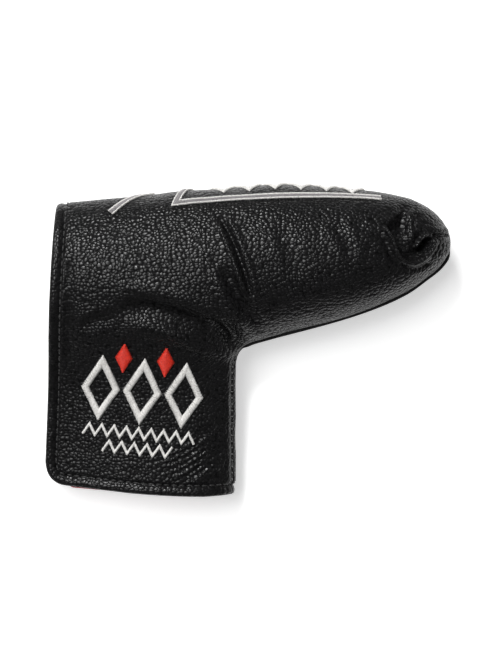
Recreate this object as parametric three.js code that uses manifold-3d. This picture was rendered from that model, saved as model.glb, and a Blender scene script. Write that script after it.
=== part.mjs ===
// Blade putter head cover, lying on its back panel.
// Millimetres. +X runs to the toe, +Y to the spine, +Z up out of the front face. The origin is the
// centre of the bounding box at the height of the surface that the cover lies on.
//
// The cover is a padded bag in an L: a pocket for the blade along X, and a neck for the shaft that
// hangs from the heel end. Leather, foam and plush lining are three nested skins. The bag is folded at
// the spine and sewn round the toe, under the pocket and down the inner side of the neck. Its mouth is
// the whole left side and the hem, where a bound edge closes the three skins and four magnets hold the
// two flaps together. The front flap opens about a diagonal fold.
import * as THREE from "three";
import { mergeVertices } from "three/addons/utils/BufferGeometryUtils.js";
import Module from "manifold-3d";

const wasm = await Module();
wasm.setup();

// ---- Driving dimensions ----
const TOE_X = 80;
const HEEL_X = -80;
const HEM_Y = -61.5;
const MID_Z = 20; // height of the seam plane in the pocket
const NECK_DROOP = 9.5; // how far the neck's seam plane sinks towards the surface
const DROOP_FROM_Y = 25;
const SECTION_POWER = 2.25; // 2 is an ellipse
const GAP = 0.3; // between pieces that touch

// Skins, as depths below the outer surface
const LEATHER = [0, 1.2];
const FOAM = [LEATHER[1] + GAP, 3.1];
const LINING = [FOAM[1] + GAP, 4.8];
const WALL = LINING[1];

// The pocket: x, spine y, lower y, half thickness. Left of the neck's inner corner the lower y only
// says where the pocket fades into the neck.
const POCKET = [
  [80, 38.5, 38.5, 0],
  [79, 43, 34.3, 4.8],
  [75.5, 48.2, 29.3, 9.8],
  [70, 52.2, 24.9, 13.8],
  [62, 55.8, 19.3, 17.2],
  [45, 58.7, 12, 20.6],
  [14, 60.6, 3.2, 22],
  [-20, 58.8, -5, 21.5],
  [-52, 55.5, -6, 19.5],
  [-76, 53.4, -6, 17.5],
  [-96, 52, -6, 17],
];

// The neck's half thickness across x, at its inner side rounded off by NECK_RIM
const NECK = [
  [-96, 5.3],
  [-80, 5.3],
  [-70, 6.4],
  [-58, 8.8],
  [-42, 11],
  [-25, 11.4],
  [-5, 10.6],
];
const NECK_SIDE_X = -4.9;
const NECK_RIM = 18;
const NECK_TOP_Y = 12; // the neck's skins end here, inside the pocket's

// Bound edge of the mouth
const BINDING_WIDTH = 4;
const CORNER_RADIUS = 9;
const TOPSTITCH_INSET = 3.1;

// Fold line of the front flap, from the mouth's left edge to the hem, and how far the flap opens
const FOLD_TOP = [-78, 30];
const FOLD_HEM = [-13, -61.5];
const FOLD_DEPTH = 1.6; // of the axis below the leather's surface at both ends
const FOLD_CLEARANCE = 0.4;
const OPEN_DEG = 60;

// Magnets, in pockets cut in the foam
const MAGNET = { radius: 6, thickness: 1.1, pocket: 6.5 };
const MAGNET_PLACES = { upper: [-67.5, -18], lower: [-67.5, -42] };

// Embroidery
const THREAD_HEIGHT = 0.8;
const EMBLEM_CENTRE = [-41, -20];
const EMBLEM_TILT = (-5.5 * Math.PI) / 180;
const DIAMOND = { halfWidth: 6.2, halfHeight: 10.6, stroke: 2.8, pitch: 16.4 };
const RED_DIAMOND = { halfWidth: 3.6, halfHeight: 5.6, rise: 12.6 };
const ZIGZAG = { amplitude: 2.1, step: 2.5, stroke: 0.9 };
const SPINE_FRAME = { from: -32, to: 54, half: 11.5, slant: 8, stroke: 2.2 };
const SPINE_ROW = { from: -14, to: 46, count: 6, half: 4.2, waist: 0.5 };
const SPINE_CHEVRON = { tip: -38, back: -53, half: 14, stroke: 2.2 };

// How finely curves are faceted
const RING_POINTS = 20;
const STATIONS = 13;
const RIBBON_STEP = 3.5;

// ---- Materials ----
const material = (color, roughness, metalness = 0) =>
  new THREE.MeshStandardMaterial({ color, roughness, metalness });
const MATERIALS = {
  leather: material(0x141414, 0.45),
  binding: material(0x181818, 0.4),
  foam: material(0x3a3a3c, 0.95),
  lining: material(0xa8101c, 0.95),
  magnet: material(0xb8bcc2, 0.3, 1),
  whiteThread: material(0xe8e4dc, 0.6),
  redThread: material(0xd9281a, 0.6),
  silverThread: material(0xb9b4b0, 0.5),
  blackThread: material(0x0c0c0c, 0.6),
};

// ---- Small maths ----
const clamp = (v, low, high) => Math.min(high, Math.max(low, v));
const smooth = (t) => t * t * (3 - 2 * t);
const signedPower = (v, p) => Math.sign(v) * Math.abs(v) ** p;

// A smooth curve through knots, with x rising or falling; column picks the value.
function through(knots, x, column = 1) {
  const ordered = knots[0][0] < knots[1][0] ? knots : [...knots].reverse();
  const last = ordered.length - 2;
  let i = 0;
  while (i < last && x > ordered[i + 1][0]) i += 1;
  const knot = (k) => ordered[clamp(k, 0, last + 1)];
  const slope = (k) =>
    (knot(k + 1)[column] - knot(k - 1)[column]) / (knot(k + 1)[0] - knot(k - 1)[0]);
  const [low, high] = [knot(i), knot(i + 1)];
  const span = high[0] - low[0];
  const t = clamp((x - low[0]) / span, 0, 1);
  const rise = high[column] - low[column];
  const bend = (slope(i) * span - rise) * (1 - t) - (slope(i + 1) * span - rise) * t;
  return low[column] + rise * t + t * (1 - t) * bend;
}

// ---- The bag's outer surface ----
// Near the toe the outline is a parabola, so the pocket is a smooth function of depth = sqrt(TOE_X - x).
const depthOf = (x) => Math.sqrt(Math.max(0, TOE_X - x));
const POCKET_BY_DEPTH = POCKET.map(([x, ...rest]) => [depthOf(x), ...rest]);
const pocketAt = (depth, column) => through(POCKET_BY_DEPTH, depth, column);

// Height of the seam plane, halfway between the front and back panels
function seamPlane(y) {
  return MID_Z - NECK_DROOP * smooth(clamp((DROOP_FROM_Y - y) / (DROOP_FROM_Y - HEM_Y), 0, 1));
}

// A point of the pocket: angle 0 is the spine, a quarter turn the front, half a turn the lower seam.
function pocketPoint(depth, angle) {
  const spine = pocketAt(depth, 1);
  const lower = pocketAt(depth, 2);
  const y = (spine + lower) / 2 + ((spine - lower) / 2) * signedPower(Math.cos(angle), 2 / SECTION_POWER);
  const z = pocketAt(depth, 3) * signedPower(Math.sin(angle), 2 / SECTION_POWER);
  return new THREE.Vector3(TOE_X - depth ** 2, y, seamPlane(y) + z);
}

// The neck's half thickness at x
function neckHalf(x) {
  const t = clamp((x - (NECK_SIDE_X - NECK_RIM)) / NECK_RIM, 0, 1);
  return through(NECK, x) * (1 - t ** SECTION_POWER) ** (1 / SECTION_POWER);
}

// A point of the neck: angle 0 is far left on the front, a quarter turn the inner side, half a turn the back.
function neckPoint(y, angle) {
  const left = NECK[0][0];
  const x = left + (NECK_SIDE_X - left) * Math.sin(angle);
  return new THREE.Vector3(x, y, seamPlane(y) + Math.sign(Math.cos(angle)) * neckHalf(x));
}

// The point moved inwards along the surface's normal, and kept off the surface that the cover lies on.
function inset(pointAt, u, v, depth, outward) {
  const step = 1e-3;
  const across = pointAt(u + step, v).sub(pointAt(u - step, v));
  const along = pointAt(u, v + step).sub(pointAt(u, v - step));
  const normal = across.cross(along).normalize().multiplyScalar(outward);
  const point = pointAt(u, v).addScaledVector(normal, -depth);
  point.z = Math.max(point.z, depth);
  return point;
}

// ---- Geometry helpers ----
// A closed geometry from rings of points; the first and last ring are capped, or joined when looped.
function loft(rings, looped = false) {
  const count = rings[0].length;
  const positions = rings.flat().flatMap((p) => [p.x, p.y, p.z]);
  const index = [];
  const steps = looped ? rings.length : rings.length - 1;
  for (let i = 0; i < steps; i += 1) {
    const [here, next] = [i * count, ((i + 1) % rings.length) * count];
    for (let j = 0; j < count; j += 1) {
      const k = (j + 1) % count;
      index.push(here + j, next + j, next + k, here + j, next + k, here + k);
    }
  }
  if (!looped) {
    const end = (rings.length - 1) * count;
    for (let j = 1; j < count - 1; j += 1) {
      index.push(0, j, j + 1, end, end + j + 1, end + j);
    }
  }
  const geometry = new THREE.BufferGeometry();
  geometry.setAttribute("position", new THREE.Float32BufferAttribute(positions, 3));
  geometry.setIndex(index);
  return geometry;
}

// A three.js geometry as a solid, whichever way its faces were wound
function solidOf(geometry) {
  const bare = geometry.clone();
  bare.deleteAttribute("normal");
  bare.deleteAttribute("uv");
  const merged = mergeVertices(bare, 1e-4);
  const vertProperties = new Float32Array(merged.attributes.position.array);
  const triVerts = new Uint32Array(merged.index.array);
  const made = new wasm.Manifold(new wasm.Mesh({ numProp: 3, vertProperties, triVerts }));
  if (made.volume() > 0) return made;
  for (let i = 0; i < triVerts.length; i += 3) {
    [triVerts[i + 1], triVerts[i + 2]] = [triVerts[i + 2], triVerts[i + 1]];
  }
  return new wasm.Manifold(new wasm.Mesh({ numProp: 3, vertProperties, triVerts }));
}

// The largest of the bodies that a cut leaves
function largest(solid) {
  return solid.decompose().reduce((a, b) => (a.volume() > b.volume() ? a : b));
}

function geometryOf(solid) {
  const mesh = solid.getMesh();
  const geometry = new THREE.BufferGeometry();
  geometry.setAttribute("position", new THREE.Float32BufferAttribute(mesh.vertProperties, 3));
  geometry.setIndex(new THREE.Uint32BufferAttribute(mesh.triVerts, 1));
  return geometry;
}

// ---- The bag as solids ----
const range = (count, from, to) =>
  Array.from({ length: count }, (_, i) => from + ((to - from) * i) / (count - 1));

function pocketSolid(depth) {
  const farEnd = depthOf(POCKET[POCKET.length - 1][0]);
  const rings = range(STATIONS, 0.3, farEnd).map((station) =>
    Array.from({ length: RING_POINTS }, (_, k) =>
      inset(pocketPoint, station, (2 * Math.PI * (k + 0.5)) / RING_POINTS, depth, 1),
    ),
  );
  return solidOf(loft(rings));
}

function neckSolid(depth) {
  const rings = range(7, NECK_TOP_Y, HEM_Y - 4).map((y) =>
    range(RING_POINTS, 0.02, Math.PI - 0.02).map((angle) => inset(neckPoint, y, angle, depth, -1)),
  );
  return solidOf(loft(rings));
}

const bagSolid = (depth) => pocketSolid(depth).add(neckSolid(depth));

// The mouth's edge seen from the front, from above the spine down the left side and along the hem
function mouthEdge(insetBy) {
  const path = new THREE.Path();
  path.moveTo(HEEL_X + 4, 66);
  path.quadraticCurveTo(HEEL_X + 1.6, 8, HEEL_X, HEM_Y + 3 + CORNER_RADIUS * 1.4);
  path.quadraticCurveTo(HEEL_X - 0.4, HEM_Y + 4.6, HEEL_X + CORNER_RADIUS, HEM_Y + 4);
  path.quadraticCurveTo(-40, HEM_Y, -16, HEM_Y);
  path.lineTo(4, HEM_Y + 1);
  const points = path.getPoints(8);
  return points.map((point, i) => {
    const before = points[Math.max(0, i - 1)];
    const after = points[Math.min(points.length - 1, i + 1)];
    const along = after.clone().sub(before).normalize();
    return new THREE.Vector2(point.x - along.y * insetBy, point.y + along.x * insetBy);
  });
}

// Everything inside the mouth's edge, as a tall prism
function mouthPrism(insetBy) {
  const edge = mouthEdge(insetBy);
  const hemEnd = edge[edge.length - 1];
  const shape = new THREE.Shape([
    ...edge,
    new THREE.Vector2(120, hemEnd.y),
    new THREE.Vector2(120, 90),
    new THREE.Vector2(edge[0].x, 90),
  ]);
  const prism = new THREE.ExtrudeGeometry(shape, { depth: 100, bevelEnabled: false });
  return solidOf(prism.translate(0, 0, -20));
}

// Everything above the seam plane, moved up by lift
function frontSpace(lift) {
  const edge = range(9, DROOP_FROM_Y + 2, HEM_Y - 8).map(
    (y) => new THREE.Vector2(y, seamPlane(y) + lift),
  );
  const shape = new THREE.Shape([
    new THREE.Vector2(HEM_Y - 8, 120),
    new THREE.Vector2(90, 120),
    new THREE.Vector2(90, MID_Z + lift),
    ...edge,
  ]);
  const prism = new THREE.ExtrudeGeometry(shape, { depth: 260, bevelEnabled: false });
  // The shape's x and y are the part's y and z, and the extrusion runs along x.
  const turn = new THREE.Matrix4().makeBasis(
    new THREE.Vector3(0, 1, 0),
    new THREE.Vector3(0, 0, 1),
    new THREE.Vector3(1, 0, 0),
  );
  return solidOf(prism.applyMatrix4(turn).translate(-130, 0, 0));
}

// Height of the front face over a point of the plan
function frontHeight(x, y) {
  const depth = depthOf(x);
  const spine = pocketAt(depth, 1);
  const lower = pocketAt(depth, 2);
  const across = Math.min(1, Math.abs(y - (spine + lower) / 2) / ((spine - lower) / 2));
  const pocket = pocketAt(depth, 3) * (1 - across ** SECTION_POWER) ** (1 / SECTION_POWER);
  return Math.max(pocket, x < NECK_SIDE_X ? neckHalf(x) : 0);
}
const frontPoint = (x, y) => new THREE.Vector3(x, y, seamPlane(y) + frontHeight(x, y));

// ---- The front flap's fold ----
function foldAxis() {
  const top = frontPoint(...FOLD_TOP);
  const hem = frontPoint(...FOLD_HEM);
  top.z -= FOLD_DEPTH;
  hem.z -= FOLD_DEPTH;
  return { top, hem, direction: top.clone().sub(hem).normalize() };
}

// The space on the flap's side of the fold. Above the axis its face leans back by half of the opening
// angle, so that the flap can swing up; side is 1 for the flap's own space and -1 for what it clears.
function flapSpace(side) {
  const { hem, direction } = foldAxis();
  const away = new THREE.Vector3(direction.y, -direction.x, 0).normalize().negate();
  const up = away.clone().cross(direction).normalize();
  if (up.z < 0) up.negate();
  const lean = side * Math.tan(THREE.MathUtils.degToRad(OPEN_DEG / 2 + 1));
  const start = side * FOLD_CLEARANCE;
  const shape = new THREE.Shape([
    new THREE.Vector2(start, -90),
    new THREE.Vector2(200, -90),
    new THREE.Vector2(200, 60),
    new THREE.Vector2(start + lean * 60, 60),
    new THREE.Vector2(start, 0),
  ]);
  const prism = new THREE.ExtrudeGeometry(shape, { depth: 400, bevelEnabled: false });
  const turn = new THREE.Matrix4().makeBasis(away, up, away.clone().cross(up));
  prism.translate(0, 0, -200).applyMatrix4(turn).translate(hem.x, hem.y, hem.z);
  return solidOf(prism);
}

// ---- Cutting tools, made once ----
const insideBinding = mouthPrism(BINDING_WIDTH + GAP);
const bindingStrip = mouthPrism(0).subtract(mouthPrism(BINDING_WIDTH));
const aboveSeam = frontSpace(GAP / 2);
const aboveSeamCut = frontSpace(-GAP / 2);
const flapZone = flapSpace(1).intersect(aboveSeam);
const flapCut = flapSpace(-1).intersect(aboveSeamCut);

const skin = ([outer, inner]) => bagSolid(outer).subtract(bagSolid(inner));

// ---- The tree ----
const cover = new THREE.Group();
const body = new THREE.Group();
const frontFlap = new THREE.Group();
cover.add(body, frontFlap);

function addPiece(group, name, solid, paint) {
  const mesh = new THREE.Mesh(geometryOf(largest(solid)), paint);
  mesh.name = name;
  group.add(mesh);
}

// The part of a piece that is on the flap, and the part that stays on the body
const onFlap = (solid) => solid.intersect(flapZone);
const onBody = (solid) => solid.subtract(flapCut);

// ---- Leather: one blank folded at the spine, so its front and back are one piece ----
const leather = skin(LEATHER).intersect(insideBinding);
addPiece(body, "cover_leather", onBody(leather), MATERIALS.leather);
addPiece(frontFlap, "front_flap_leather", onFlap(leather), MATERIALS.leather);

// ---- Magnets ----
// A disc whose face follows the flap: side 1 is the front flap, -1 the back flap.
function disc(radius, thickness, [x, y], side) {
  const step = 0.5;
  const at = (px, py) => new THREE.Vector3(px, py, seamPlane(py) + side * frontHeight(px, py));
  const normal = at(x + step, y)
    .sub(at(x - step, y))
    .cross(at(x, y + step).sub(at(x, y - step)))
    .normalize()
    .multiplyScalar(side);
  const middle = at(x, y).addScaledVector(normal, -(FOAM[0] + FOAM[1]) / 2);
  const shape = new THREE.CylinderGeometry(radius, radius, thickness, 24);
  const turn = new THREE.Quaternion().setFromUnitVectors(new THREE.Vector3(0, 1, 0), normal);
  return solidOf(shape.applyQuaternion(turn).translate(middle.x, middle.y, middle.z));
}

for (const [place, centre] of Object.entries(MAGNET_PLACES)) {
  const magnet = (side) => disc(MAGNET.radius, MAGNET.thickness, centre, side);
  addPiece(frontFlap, `front_flap_magnet_${place}`, magnet(1), MATERIALS.magnet);
  addPiece(body, `back_flap_magnet_${place}`, magnet(-1), MATERIALS.magnet);
}

const magnetPockets = (side) =>
  Object.values(MAGNET_PLACES)
    .map((centre) => disc(MAGNET.pocket, 8, centre, side))
    .reduce((a, b) => a.add(b));

// ---- Foam and lining: front and back sheets, cut at the seam plane ----
const foam = skin(FOAM).intersect(insideBinding);
const frontFoam = foam.intersect(aboveSeam).subtract(magnetPockets(1));
const backFoam = foam.subtract(aboveSeamCut).subtract(magnetPockets(-1));
addPiece(body, "front_foam_pad", onBody(frontFoam), MATERIALS.foam);
addPiece(frontFlap, "front_flap_foam_pad", onFlap(frontFoam), MATERIALS.foam);
addPiece(body, "back_foam_pad", backFoam, MATERIALS.foam);

const lining = skin(LINING).intersect(insideBinding);
const frontLining = lining.intersect(aboveSeam);
addPiece(body, "front_plush_lining", onBody(frontLining), MATERIALS.lining);
addPiece(frontFlap, "front_flap_plush_lining", onFlap(frontLining), MATERIALS.lining);
addPiece(body, "back_plush_lining", lining.subtract(aboveSeamCut), MATERIALS.lining);

// ---- Binding: a strip of leather round the mouth that closes the three skins ----
const binding = skin([0, WALL]).intersect(bindingStrip);
addPiece(body, "mouth_edge_binding", onBody(binding), MATERIALS.binding);
addPiece(frontFlap, "front_flap_edge_binding", onFlap(binding), MATERIALS.binding);

// ---- Ribbons: satin stitch and thread, laid on a surface ----
// The path is split so that no step is longer than RIBBON_STEP.
function refine(path, closed) {
  const fine = [];
  path.forEach((point, i) => {
    const next = path[(i + 1) % path.length];
    if (!closed && i === path.length - 1) {
      fine.push(point);
      return;
    }
    const steps = Math.max(1, Math.ceil(point.distanceTo(next) / RIBBON_STEP));
    for (let k = 0; k < steps; k += 1) fine.push(point.clone().lerp(next, k / steps));
  });
  return fine;
}

// A flat band along a path of Vector2. halfWidth is a number or a function of the step's share of the
// path; place(u, v, height) puts a point of the plan on the object, that far above its surface.
function ribbon(path, halfWidth, place, closed = false, height = THREAD_HEIGHT, lift = GAP) {
  const points = refine(path, closed);
  const count = points.length;
  const rings = points.map((point, i) => {
    const before = points[closed ? (i + count - 1) % count : Math.max(0, i - 1)];
    const after = points[closed ? (i + 1) % count : Math.min(count - 1, i + 1)];
    const into = (i === 0 && !closed ? after.clone().sub(point) : point.clone().sub(before)).normalize();
    const out = (i === count - 1 && !closed ? into.clone() : after.clone().sub(point)).normalize();
    const side = new THREE.Vector2(-into.y - out.y, into.x + out.x).normalize();
    const mitre = 1 / Math.max(0.4, Math.abs(side.x * -into.y + side.y * into.x));
    const half = (typeof halfWidth === "function" ? halfWidth(i / (count - 1)) : halfWidth) * mitre;
    const left = point.clone().addScaledVector(side, half);
    const right = point.clone().addScaledVector(side, -half);
    return [
      place(left.x, left.y, lift),
      place(right.x, right.y, lift),
      place(right.x, right.y, lift + height),
      place(left.x, left.y, lift + height),
    ];
  });
  return solidOf(loft(rings, closed));
}

// On the front face, over a point of the plan
function onFront(x, y, height) {
  const step = 0.5;
  const normal = frontPoint(x + step, y)
    .sub(frontPoint(x - step, y))
    .cross(frontPoint(x, y + step).sub(frontPoint(x, y - step)))
    .normalize();
  return frontPoint(x, y).addScaledVector(normal, height);
}

// On the back face, under a point of the plan
function onBack(x, y, height) {
  const point = onFront(x, y, height);
  point.z = 2 * seamPlane(y) - point.z;
  return point;
}

// On the pocket: x along it, and v the arc length from the spine's middle, positive to the front
function onPocket(x, v, height) {
  const depth = depthOf(x);
  const step = 0.01;
  let angle = 0;
  let travelled = 0;
  while (travelled < Math.abs(v)) {
    travelled += pocketPoint(depth, angle).distanceTo(pocketPoint(depth, angle + step));
    angle += step;
  }
  angle -= (step * (travelled - Math.abs(v))) / Math.max(travelled, 1);
  return inset(pocketPoint, depth, Math.sign(v) * angle, -height, 1);
}

const path = (...points) => points.map(([x, y]) => new THREE.Vector2(x, y));

// ---- Emblem: a row of argyle diamonds with two rows of zigzag under it ----
function emblemPath(points) {
  const centre = new THREE.Vector2(...EMBLEM_CENTRE);
  return path(...points).map((p) => p.rotateAround(new THREE.Vector2(), EMBLEM_TILT).add(centre));
}

function diamondOutline(middle) {
  const { halfWidth, halfHeight, stroke } = DIAMOND;
  const corners = [
    [middle - halfWidth, 0],
    [middle, halfHeight],
    [middle + halfWidth, 0],
    [middle, -halfHeight],
  ];
  return ribbon(emblemPath(corners), stroke / 2, onFront, true);
}

function solidDiamond(middle) {
  const { halfWidth, halfHeight, rise } = RED_DIAMOND;
  const ends = emblemPath([
    [middle, rise - halfHeight],
    [middle, rise + halfHeight],
  ]);
  const taper = (t) => 0.3 + (halfWidth - 0.3) * (1 - Math.abs(2 * t - 1));
  return ribbon(ends, taper, onFront);
}

function zigzag(from, to, height) {
  const count = Math.round((to - from) / ZIGZAG.step);
  const points = range(count + 1, from, to).map((x, i) => [
    x,
    height + (i % 2 ? ZIGZAG.amplitude : -ZIGZAG.amplitude),
  ]);
  return ribbon(emblemPath(points), ZIGZAG.stroke / 2, onFront);
}

const centreDiamond = diamondOutline(0);
const longZigzag = zigzag(-22, 22, -16.5);
addPiece(frontFlap, "emblem_diamond_left", onFlap(diamondOutline(-DIAMOND.pitch)), MATERIALS.whiteThread);
addPiece(frontFlap, "emblem_diamond_centre_flap_side", onFlap(centreDiamond), MATERIALS.whiteThread);
addPiece(body, "emblem_diamond_centre_body_side", onBody(centreDiamond), MATERIALS.whiteThread);
addPiece(body, "emblem_diamond_right", onBody(diamondOutline(DIAMOND.pitch)), MATERIALS.whiteThread);
addPiece(body, "emblem_red_diamond_left", onBody(solidDiamond(-DIAMOND.pitch / 2)), MATERIALS.redThread);
addPiece(body, "emblem_red_diamond_right", onBody(solidDiamond(DIAMOND.pitch / 2)), MATERIALS.redThread);
addPiece(frontFlap, "emblem_zigzag_long_flap_side", onFlap(longZigzag), MATERIALS.whiteThread);
addPiece(body, "emblem_zigzag_long_body_side", onBody(longZigzag), MATERIALS.whiteThread);
addPiece(frontFlap, "emblem_zigzag_short", onFlap(zigzag(-13.75, 13.75, -22.6)), MATERIALS.whiteThread);

// ---- Spine embroidery: a slanted frame, a row of joined diamonds in it, and a chevron beside it ----
function spineFrame() {
  const { from, to, half, slant, stroke } = SPINE_FRAME;
  const corners = path([from, half], [to + slant, half * 0.8], [to, -half * 0.8], [from + slant, -half]);
  return ribbon(corners, stroke / 2, onPocket, true);
}

function spineRow() {
  const { from, to, count, half, waist } = SPINE_ROW;
  const stations = range(2 * count + 1, from, to).map((x) => [x, 0]);
  const pulse = (t) => waist + (half - waist) * (1 - Math.abs(((t * count) % 1) * 2 - 1));
  return ribbon(path(...stations), pulse, onPocket);
}

function spineChevron() {
  const { tip, back, half, stroke } = SPINE_CHEVRON;
  return ribbon(path([back, half], [tip, 0], [back, -half]), stroke / 2, onPocket);
}

addPiece(body, "spine_frame_embroidery", spineFrame(), MATERIALS.silverThread);
addPiece(body, "spine_diamond_row_embroidery", spineRow(), MATERIALS.whiteThread);
addPiece(body, "spine_chevron_embroidery", spineChevron(), MATERIALS.silverThread);

// ---- Topstitching along the binding, and the seam's thread ----
const STITCH_HALF = 0.4;
const STITCH_HEIGHT = 0.4;
const STITCH_LIFT = 0.5;
const stitch = (points, place) =>
  ribbon(points, STITCH_HALF, place, false, STITCH_HEIGHT, STITCH_LIFT);
const stitchLine = mouthEdge(TOPSTITCH_INSET);
const frontStitch = stitch(stitchLine.filter((p) => p.y < 32), onFront);
addPiece(frontFlap, "front_flap_topstitch", onFlap(frontStitch), MATERIALS.blackThread);

const hemEnd = stitchLine[stitchLine.length - 1];
const cornerStitch = stitch([new THREE.Vector2(-12, hemEnd.y), new THREE.Vector2(-7, hemEnd.y)], onFront);
addPiece(body, "hem_corner_topstitch", onBody(cornerStitch), MATERIALS.blackThread);

const mouthTop = stitchLine[0].x;
const spineStitch = stitch(path([mouthTop, 22], [mouthTop - 0.2, 0], [mouthTop, -22]), onPocket);
addPiece(body, "mouth_spine_topstitch", onBody(spineStitch), MATERIALS.blackThread);

const backStitch = stitch(stitchLine.filter((p) => p.y < 4 && p.y > HEM_Y + 14), onBack);
addPiece(body, "back_flap_topstitch", backStitch, MATERIALS.blackThread);

// The closing seam runs from the toe, under the pocket, round the inner corner and down the neck.
function seamThread() {
  const thick = STITCH_HEIGHT;
  const under = range(12, 1.6, depthOf(2)).map((depth) => {
    const outer = inset(pocketPoint, depth, Math.PI, -(GAP + thick), 1);
    return outer;
  });
  const side = range(8, -9, HEM_Y + 2).map((y) => inset(neckPoint, y, Math.PI / 2, -(GAP + thick), -1));
  const curve = new THREE.CatmullRomCurve3([...under, ...side], false, "centripetal");
  const section = new THREE.Shape();
  section.absarc(0, 0, thick, 0, 2 * Math.PI);
  const options = { steps: 36, extrudePath: curve, bevelEnabled: false, curveSegments: 3 };
  return solidOf(new THREE.ExtrudeGeometry(section, options));
}
addPiece(body, "closing_seam_thread", seamThread(), MATERIALS.blackThread);

export default cover;
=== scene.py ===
# Looks of a blade putter head cover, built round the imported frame.
# Shapes are worked out in millimetres, in the frame's axes: +X to the toe, +Y to the spine, +Z up.
import math

import bpy
import numpy as np
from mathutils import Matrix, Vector, noise


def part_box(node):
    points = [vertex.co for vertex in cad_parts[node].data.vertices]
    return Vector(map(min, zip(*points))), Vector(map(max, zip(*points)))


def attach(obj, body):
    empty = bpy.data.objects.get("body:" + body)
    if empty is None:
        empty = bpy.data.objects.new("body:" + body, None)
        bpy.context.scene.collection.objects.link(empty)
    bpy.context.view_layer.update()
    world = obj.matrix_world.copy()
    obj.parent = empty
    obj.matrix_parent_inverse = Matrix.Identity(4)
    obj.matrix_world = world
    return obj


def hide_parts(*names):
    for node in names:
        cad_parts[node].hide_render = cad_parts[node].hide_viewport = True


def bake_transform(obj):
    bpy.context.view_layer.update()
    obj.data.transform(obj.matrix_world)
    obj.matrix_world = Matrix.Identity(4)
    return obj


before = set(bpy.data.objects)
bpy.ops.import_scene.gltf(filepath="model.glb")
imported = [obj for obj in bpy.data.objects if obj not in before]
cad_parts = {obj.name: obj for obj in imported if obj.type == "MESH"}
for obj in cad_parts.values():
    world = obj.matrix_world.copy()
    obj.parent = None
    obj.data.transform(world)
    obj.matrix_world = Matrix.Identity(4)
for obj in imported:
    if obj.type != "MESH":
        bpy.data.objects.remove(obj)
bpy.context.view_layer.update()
MM = 0.001

# ---- The bag's dimensions. A comment says where they differ from the CAD model's ----
TOE_X, HEEL_X, HEM_Y, MID_Z = 80.0, -80.0, -61.5, 20.0
NECK_DROOP, DROOP_FROM_Y = 9.5, 25.0
SECTION_POWER = 2.25
# The pocket: x, spine y, lower y, half thickness. The last three half thicknesses are 0.2, 0.9 and 1.5 mm
# less than in the CAD model.
POCKET = [
    (80, 38.5, 38.5, 0),
    (79, 43, 34.3, 4.8),
    (75.5, 48.2, 29.3, 9.8),
    (70, 52.2, 24.9, 13.8),
    (62, 55.8, 19.3, 17.2),
    (45, 58.7, 12, 20.6),
    (14, 60.6, 3.2, 22),
    (-20, 58.8, -5, 21.5),
    (-52, 55.5, -6, 19.3),
    (-76, 53.4, -6, 16.6),
    (-96, 52, -6, 15.5),
]
# The neck's half thickness across x, rounded off towards its inner side
NECK = [(-96, 5.3), (-80, 5.3), (-70, 6.4), (-58, 8.8), (-42, 11), (-25, 11.4), (-5, 10.6)]
NECK_SIDE_X, NECK_RIM = -4.9, 18.0
# Above NECK_TOP_Y the neck gives way to the pocket. In the CAD model it ends at 12, inside the pocket.
NECK_TOP_Y, NECK_FADE = 0.0, 0.04
CORNER_RADIUS = 9.0
BLEND_WIDE, BLEND_TIGHT = 12.0, 5.0  # how softly the neck runs into the pocket, and at the inner corner
# The closing seam lies this far to the front of the bag's middle plane on the neck, and half as far under
# the pocket. In the CAD model it lies in that plane.
SEAM_LIFT = 4.4

# ---- Layers, as depths below the outer surface ----
# The gaps between them are 0.2 mm, and 0.3 mm in the CAD model, whose foam and lining are 0.1 mm thinner.
LEATHER = (0.0, 1.2)
FOAM = (1.4, 3.1)
LINING = (3.3, 4.8)
BINDING_WIDTH = 3.9
STITCH_INSET = 4.5

# ---- How finely things are meshed ----
LEATHER_CELL, INNER_CELL = 1.8, 2.4
LEATHER_ROUNDS = 2  # each round of refining halves the spacing
INNER_ROUNDS = 1


# ---- Small maths ----
def smooth(t):
    t = np.clip(t, 0, 1)
    return t * t * (3 - 2 * t)


def through(xs, values, x):
    """A smooth curve through knots, with slopes from the knots on either side."""
    xs, values = np.asarray(xs, float), np.asarray(values, float)
    before = np.maximum(np.arange(len(xs)) - 1, 0)
    after = np.minimum(np.arange(len(xs)) + 1, len(xs) - 1)
    slope = (values[after] - values[before]) / (xs[after] - xs[before])
    i = np.clip(np.searchsorted(xs, x) - 1, 0, len(xs) - 2)
    span = xs[i + 1] - xs[i]
    t = np.clip((x - xs[i]) / span, 0, 1)
    rise = values[i + 1] - values[i]
    bend = (slope[i] * span - rise) * (1 - t) - (slope[i + 1] * span - rise) * t
    return values[i] + rise * t + t * (1 - t) * bend


def unit(v):
    return v / np.maximum(np.linalg.norm(v, axis=-1, keepdims=True), 1e-12)


def distance_along(line):
    return np.concatenate([[0], np.cumsum(np.linalg.norm(np.diff(line, axis=0), axis=1))])


def noise_at(points):
    return np.array([noise.noise(Vector(p)) for p in points])


def fading(along, start, end):
    """1 along a line whose length is 1, easing to 0 over these shares of it at its start and end."""
    return smooth(along / start) * smooth((1 - along) / end)


def sample_line(at, distance, values):
    """Values given along a line, at other distances along it."""
    return np.stack([np.interp(at, distance, values[:, k]) for k in range(3)], -1)


# ---- The bag's outer surface, as a field that is negative inside ----
POCKET_KNOTS = np.array(sorted((math.sqrt(TOE_X - row[0]), *row[1:]) for row in POCKET))
NECK_KNOTS = np.array(NECK)


def seam_plane(y):
    return MID_Z - NECK_DROOP * smooth((DROOP_FROM_Y - y) / (DROOP_FROM_Y - HEM_Y))


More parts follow.
